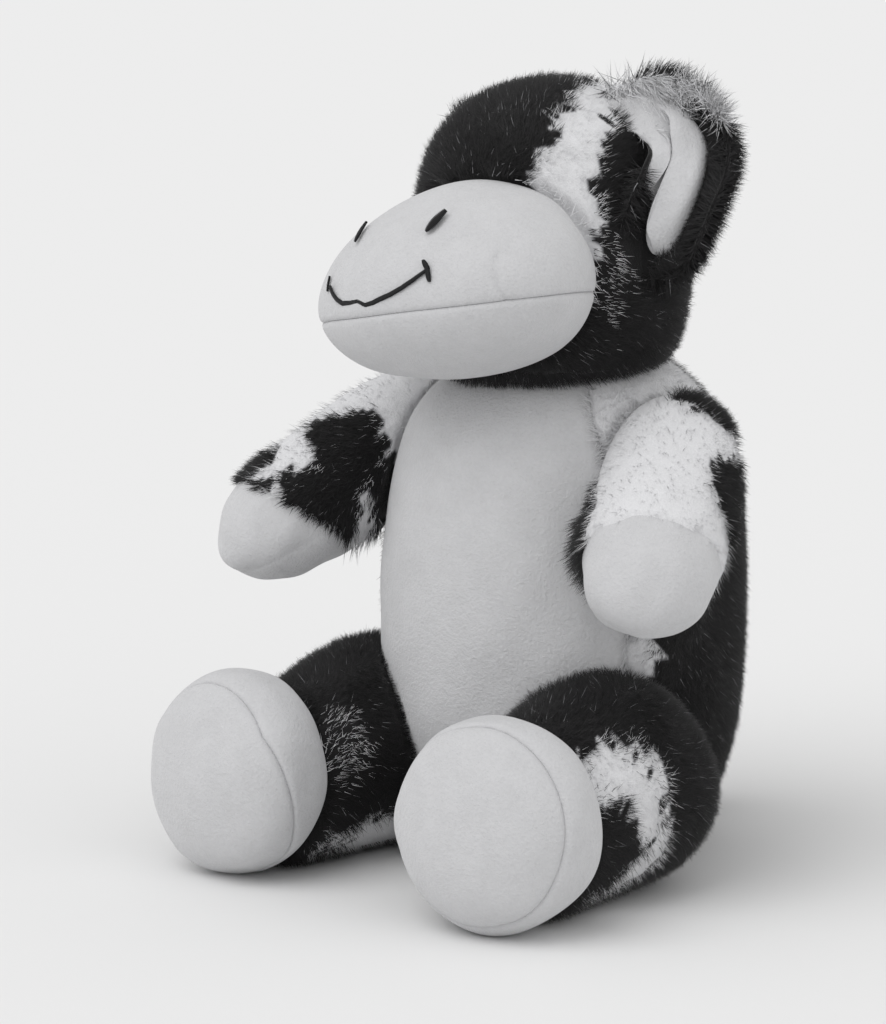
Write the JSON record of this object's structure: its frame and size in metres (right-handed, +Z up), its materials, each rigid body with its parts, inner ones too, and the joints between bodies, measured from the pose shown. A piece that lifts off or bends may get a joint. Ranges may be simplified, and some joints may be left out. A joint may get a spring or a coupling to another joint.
{
  "type": "plush cow",
  "caption": "Seated plush cow with stuffed torso, movable head, arms, legs, ears and tail, patched black and white fur, and short-pile muzzle, belly, hooves and feet.",
  "frame": {"origin": "middle of the seat, on the flat under the torso where it rests", "axes": "+Z up through the torso, -Y the way the torso faces, +X the cow's own left side"},
  "size_m": [0.1808, 0.1865, 0.2408],
  "materials": {
    "white_fur": "long-pile plush",
    "black_fur": "long-pile plush",
    "white_short_pile": "short-pile plush",
    "black_thread": "embroidery thread",
    "stuffing_fibre": "loose fibre",
    "pellet_cloth": "woven cloth"
  },
  "bodies": {
    "torso": {"torso_cover": "black_fur", "belly_panel": "white_short_pile", "torso_stuffing": "stuffing_fibre", "seat_bean_pouch": "pellet_cloth", "back_closing_seam": "black_thread"},
    "neck": {"neck_seam": "black_thread"},
    "head": {"head_cover": "black_fur", "head_stuffing": "stuffing_fibre", "muzzle_upper": "white_short_pile", "muzzle_lower": "white_short_pile", "nostril_left": "black_thread", "nostril_right": "black_thread", "smile": "black_thread"},
    "ear_left": {"ear_left_back": "white_fur", "ear_left_lining": "white_short_pile"},
    "ear_right": {"ear_right_back": "white_fur", "ear_right_lining": "white_short_pile"},
    "arm_left": {"arm_left_sleeve": "white_fur", "arm_left_hoof": "white_short_pile", "arm_left_stuffing": "stuffing_fibre"},
    "arm_right": {"arm_right_sleeve": "white_fur", "arm_right_hoof": "white_short_pile", "arm_right_stuffing": "stuffing_fibre"},
    "leg_left": {"leg_left_sleeve": "black_fur", "leg_left_stuffing": "stuffing_fibre", "foot_left_upper": "white_short_pile", "foot_left_sole": "white_short_pile"},
    "leg_right": {"leg_right_sleeve": "black_fur", "leg_right_stuffing": "stuffing_fibre", "foot_right_upper": "white_short_pile", "foot_right_sole": "white_short_pile"},
    "tail": {"tail": "white_fur", "tail_tuft": "black_fur"}
  },
  "joints": [
    {"name": "head_turn", "type": "hinge", "parent": "torso", "child": "neck", "pos_m": [0, 0, 0.11376], "axis": [0, 0, 1], "range_deg": [-20, 20], "stiffness_Nm_per_rad": 1},
    {"name": "head_nod", "type": "hinge", "parent": "neck", "child": "head", "pos_m": [0, 0, 0.11376], "axis": [1, 0, 0], "range_deg": [-10, 10], "stiffness_Nm_per_rad": 1.5},
    {"name": "arm_left_raise", "type": "hinge", "parent": "torso", "child": "arm_left", "pos_m": [0.04816, -0.0058, 0.13193], "axis": [-1, 0, 0], "range_deg": [-15, 20], "stiffness_Nm_per_rad": 0.3},
    {"name": "arm_right_raise", "type": "hinge", "parent": "torso", "child": "arm_right", "pos_m": [-0.04816, -0.0058, 0.13193], "axis": [-1, 0, 0], "range_deg": [-15, 20], "stiffness_Nm_per_rad": 0.3},
    {"name": "leg_left_lift", "type": "hinge", "parent": "torso", "child": "leg_left", "pos_m": [0.04368, -0.03828, 0.0273], "axis": [-1, 0, 0], "range_deg": [-12, 20], "stiffness_Nm_per_rad": 0.6},
    {"name": "leg_right_lift", "type": "hinge", "parent": "torso", "child": "leg_right", "pos_m": [-0.04368, -0.03828, 0.0273], "axis": [-1, 0, 0], "range_deg": [-12, 20], "stiffness_Nm_per_rad": 0.6},
    {"name": "ear_left_flop", "type": "hinge", "parent": "head", "child": "ear_left", "pos_m": [0.02828, -0.00421, 0.22781], "axis": [-0.0785, -0.9969, 0], "range_deg": [-8, 30], "stiffness_Nm_per_rad": 0.05},
    {"name": "ear_right_flop", "type": "hinge", "parent": "head", "child": "ear_right", "pos_m": [-0.0367, 0.0009, 0.21748], "axis": [0.0785, 0.9969, 0], "range_deg": [-8, 30], "stiffness_Nm_per_rad": 0.05},
    {"name": "tail_swing", "type": "hinge", "parent": "torso", "child": "tail", "pos_m": [0, 0.0612, 0.062], "axis": [0, 1, 0], "range_deg": [-20, 20]}
  ]
}
